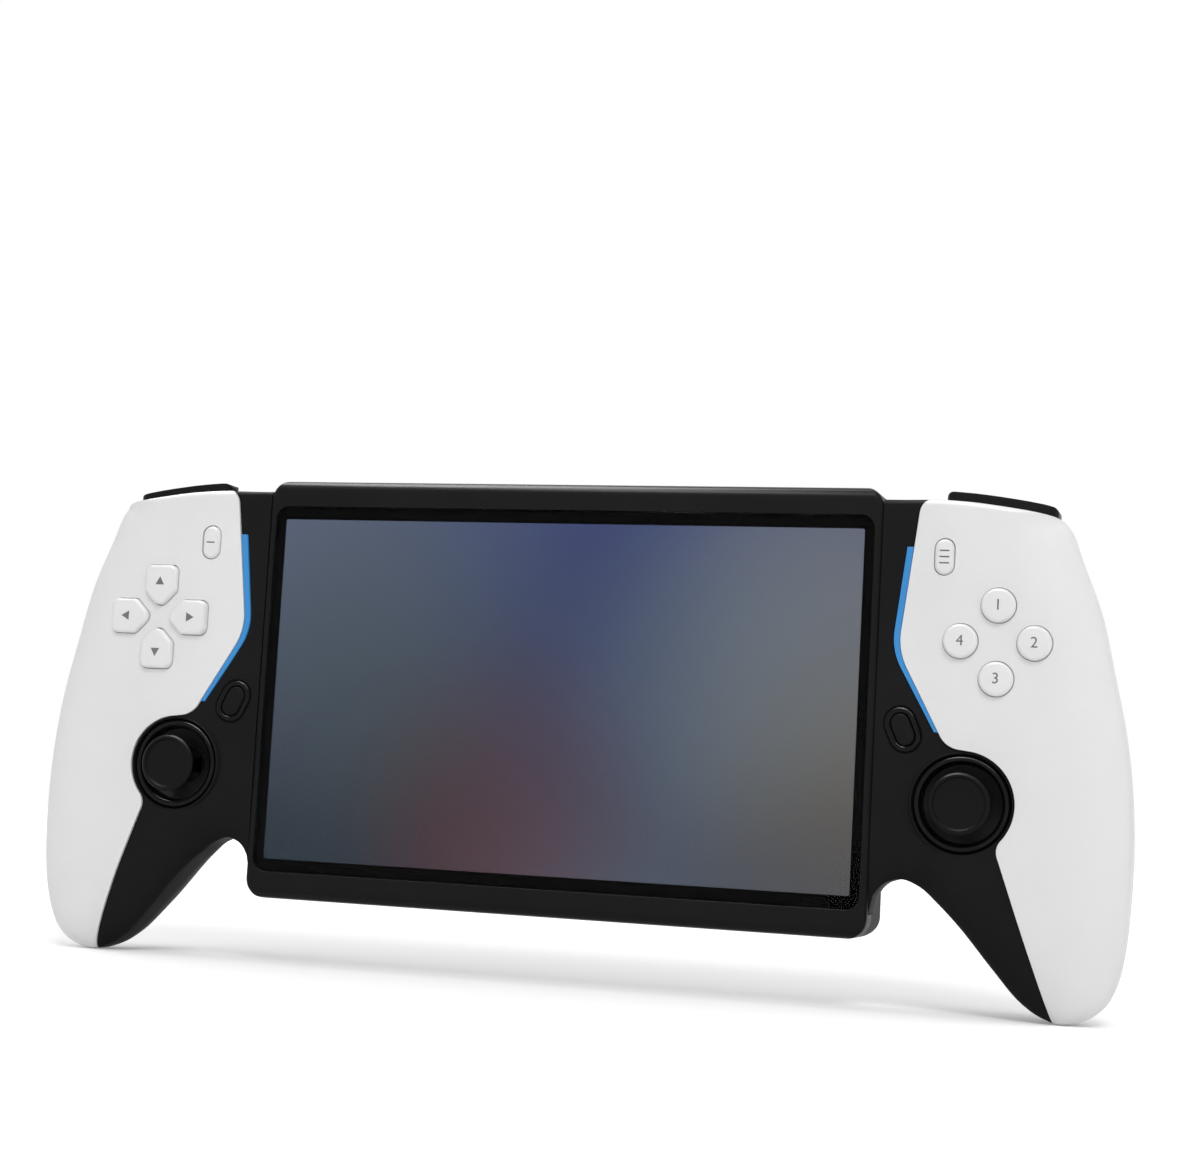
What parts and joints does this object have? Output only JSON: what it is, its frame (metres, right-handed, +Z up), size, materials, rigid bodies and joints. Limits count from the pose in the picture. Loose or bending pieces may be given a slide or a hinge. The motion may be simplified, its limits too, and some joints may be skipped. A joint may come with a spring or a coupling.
{
  "type": "handheld game console",
  "caption": "Handheld game console: a wide screen tablet between two sculpted grips with thumb sticks, direction keys, round action buttons, shoulder bumpers and triggers.",
  "frame": {"origin": "on the ground under the middle of the console's box, standing upright on its grip tips", "axes": "+X to the player's right, +Y from the screen to the back, +Z up"},
  "size_m": [0.287, 0.0421, 0.1274],
  "materials": {
    "white_shell": "fine satin moulding",
    "white_key": "satin moulding",
    "dark_shell": "fine matt moulding",
    "stick_rubber": "matt rubber",
    "membrane_rubber": "matt silicone",
    "screen_glass": "polished",
    "display": "smooth",
    "light_guide": "frosted",
    "circuit_board": "solder mask",
    "bare_metal": "plain",
    "socket_plastic": "plain",
    "copper": "plain",
    "battery_foil": "foil wrap"
  },
  "bodies": {
    "console": {"front_frame": "dark_shell", "back_cover": "dark_shell", "screen_glass": "screen_glass", "display_panel": "display", "chassis_plate": "bare_metal", "main_board": "circuit_board", "heat_spreader": "copper", "battery": "battery_foil", "left_speaker": "dark_shell", "right_speaker": "dark_shell", "usb_socket": "bare_metal", "headphone_socket": "socket_plastic", "card_socket": "bare_metal", "case_screws": "bare_metal", "left_wing_front": "dark_shell", "right_wing_front": "dark_shell", "left_wing_rear": "dark_shell", "right_wing_rear": "dark_shell", "left_front_cover": "white_shell", "right_front_cover": "white_shell", "left_rear_cover": "white_shell", "right_rear_cover": "white_shell", "left_light_strip": "light_guide", "right_light_strip": "light_guide", "left_button_board": "circuit_board", "right_button_board": "circuit_board", "left_key_membrane": "membrane_rubber", "right_key_membrane": "membrane_rubber", "left_stick_ring": "dark_shell", "right_stick_ring": "dark_shell", "left_stick_module": "dark_shell", "right_stick_module": "dark_shell", "left_shoulder_bracket": "bare_metal", "right_shoulder_bracket": "bare_metal", "left_shoulder_pins": "bare_metal", "right_shoulder_pins": "bare_metal"},
    "dpad_up": {"dpad_up": "white_key"},
    "dpad_down": {"dpad_down": "white_key"},
    "dpad_left": {"dpad_left": "white_key"},
    "dpad_right": {"dpad_right": "white_key"},
    "action_top": {"action_top": "white_key"},
    "action_bottom": {"action_bottom": "white_key"},
    "action_left": {"action_left": "white_key"},
    "action_right": {"action_right": "white_key"},
    "power_button": {"power_button": "dark_shell"},
    "volume_rocker": {"volume_rocker": "dark_shell"},
    "left_menu_key": {"left_menu_key": "white_shell"},
    "left_function_key": {"left_function_key": "dark_shell"},
    "left_stick_gimbal": {"left_stick_gimbal": "dark_shell"},
    "left_stick_stem": {"left_stick_stem": "bare_metal"},
    "left_stick_cap": {"left_stick_cap": "stick_rubber"},
    "left_bumper": {"left_bumper": "dark_shell"},
    "left_trigger": {"left_trigger": "dark_shell"},
    "right_menu_key": {"right_menu_key": "white_shell"},
    "right_function_key": {"right_function_key": "dark_shell"},
    "right_stick_gimbal": {"right_stick_gimbal": "dark_shell"},
    "right_stick_stem": {"right_stick_stem": "bare_metal"},
    "right_stick_cap": {"right_stick_cap": "stick_rubber"},
    "right_bumper": {"right_bumper": "dark_shell"},
    "right_trigger": {"right_trigger": "dark_shell"}
  },
  "joints": [
    {"name": "dpad_up_press", "type": "slide", "parent": "console", "child": "dpad_up", "axis": [0, 1, 0], "range_m": [0, 0.001], "stiffness_N_per_m": 400, "springref_m": -0.0005},
    {"name": "dpad_down_press", "type": "slide", "parent": "console", "child": "dpad_down", "axis": [0, 1, 0], "range_m": [0, 0.001], "stiffness_N_per_m": 400, "springref_m": -0.0005},
    {"name": "dpad_left_press", "type": "slide", "parent": "console", "child": "dpad_left", "axis": [0, 1, 0], "range_m": [0, 0.001], "stiffness_N_per_m": 400, "springref_m": -0.0005},
    {"name": "dpad_right_press", "type": "slide", "parent": "console", "child": "dpad_right", "axis": [0, 1, 0], "range_m": [0, 0.001], "stiffness_N_per_m": 400, "springref_m": -0.0005},
    {"name": "action_top_press", "type": "slide", "parent": "console", "child": "action_top", "axis": [0, 1, 0], "range_m": [0, 0.001], "stiffness_N_per_m": 400, "springref_m": -0.0005},
    {"name": "action_bottom_press", "type": "slide", "parent": "console", "child": "action_bottom", "axis": [0, 1, 0], "range_m": [0, 0.001], "stiffness_N_per_m": 400, "springref_m": -0.0005},
    {"name": "action_left_press", "type": "slide", "parent": "console", "child": "action_left", "axis": [0, 1, 0], "range_m": [0, 0.001], "stiffness_N_per_m": 400, "springref_m": -0.0005},
    {"name": "action_right_press", "type": "slide", "parent": "console", "child": "action_right", "axis": [0, 1, 0], "range_m": [0, 0.001], "stiffness_N_per_m": 400, "springref_m": -0.0005},
    {"name": "left_menu_press", "type": "slide", "parent": "console", "child": "left_menu_key", "axis": [0, 1, 0], "range_m": [0, 0.0006], "stiffness_N_per_m": 500, "springref_m": -0.0005},
    {"name": "left_function_press", "type": "slide", "parent": "console", "child": "left_function_key", "axis": [0, 1, 0], "range_m": [0, 0.0005], "stiffness_N_per_m": 500, "springref_m": -0.0005},
    {"name": "right_menu_press", "type": "slide", "parent": "console", "child": "right_menu_key", "axis": [0, 1, 0], "range_m": [0, 0.0006], "stiffness_N_per_m": 500, "springref_m": -0.0005},
    {"name": "right_function_press", "type": "slide", "parent": "console", "child": "right_function_key", "axis": [0, 1, 0], "range_m": [0, 0.0005], "stiffness_N_per_m": 500, "springref_m": -0.0005},
    {"name": "power_press", "type": "slide", "parent": "console", "child": "power_button", "axis": [0, 0, -1], "range_m": [0, 0.0005], "stiffness_N_per_m": 600, "springref_m": -0.0005},
    {"name": "volume_rock", "type": "hinge", "parent": "console", "child": "volume_rocker", "pos_m": [-0.034, -0.00255, 0.124], "axis": [0, 1, 0], "range_deg": [-2, 2], "stiffness_Nm_per_rad": 0.1},
    {"name": "left_stick_tilt_y", "type": "hinge", "parent": "console", "child": "left_stick_gimbal", "pos_m": [-0.1039, -0.00395, 0.0505], "axis": [1, 0, 0], "range_deg": [-12, 12], "stiffness_Nm_per_rad": 0.05},
    {"name": "left_stick_tilt_x", "type": "hinge", "parent": "left_stick_gimbal", "child": "left_stick_stem", "pos_m": [-0.1039, -0.00395, 0.0505], "axis": [0, 0, 1], "range_deg": [-12, 12], "stiffness_Nm_per_rad": 0.05},
    {"name": "left_stick_click", "type": "slide", "parent": "left_stick_stem", "child": "left_stick_cap", "axis": [0, 1, 0], "range_m": [0, 0.0004], "stiffness_N_per_m": 1500, "springref_m": -0.0004},
    {"name": "left_bumper_press", "type": "hinge", "parent": "console", "child": "left_bumper", "pos_m": [-0.1003, -0.01045, 0.119], "axis": [0, -1, 0], "range_deg": [0, 3], "stiffness_Nm_per_rad": 0.4, "springref_deg": -2.86},
    {"name": "left_trigger_pull", "type": "hinge", "parent": "console", "child": "left_trigger", "pos_m": [-0.1101, 0.00405, 0.1128], "axis": [-1, 0, 0], "range_deg": [0, 12], "stiffness_Nm_per_rad": 0.1, "springref_deg": -5.73},
    {"name": "right_stick_tilt_y", "type": "hinge", "parent": "console", "child": "right_stick_gimbal", "pos_m": [0.1039, -0.00395, 0.0505], "axis": [1, 0, 0], "range_deg": [-12, 12], "stiffness_Nm_per_rad": 0.05},
    {"name": "right_stick_tilt_x", "type": "hinge", "parent": "right_stick_gimbal", "child": "right_stick_stem", "pos_m": [0.1039, -0.00395, 0.0505], "axis": [0, 0, 1], "range_deg": [-12, 12], "stiffness_Nm_per_rad": 0.05},
    {"name": "right_stick_click", "type": "slide", "parent": "right_stick_stem", "child": "right_stick_cap", "axis": [0, 1, 0], "range_m": [0, 0.0004], "stiffness_N_per_m": 1500, "springref_m": -0.0004},
    {"name": "right_bumper_press", "type": "hinge", "parent": "console", "child": "right_bumper", "pos_m": [0.1003, -0.01045, 0.119], "axis": [0, 1, 0], "range_deg": [0, 3], "stiffness_Nm_per_rad": 0.4, "springref_deg": -2.86},
    {"name": "right_trigger_pull", "type": "hinge", "parent": "console", "child": "right_trigger", "pos_m": [0.1101, 0.00405, 0.1128], "axis": [-1, 0, 0], "range_deg": [0, 12], "stiffness_Nm_per_rad": 0.1, "springref_deg": -5.73}
  ]
}
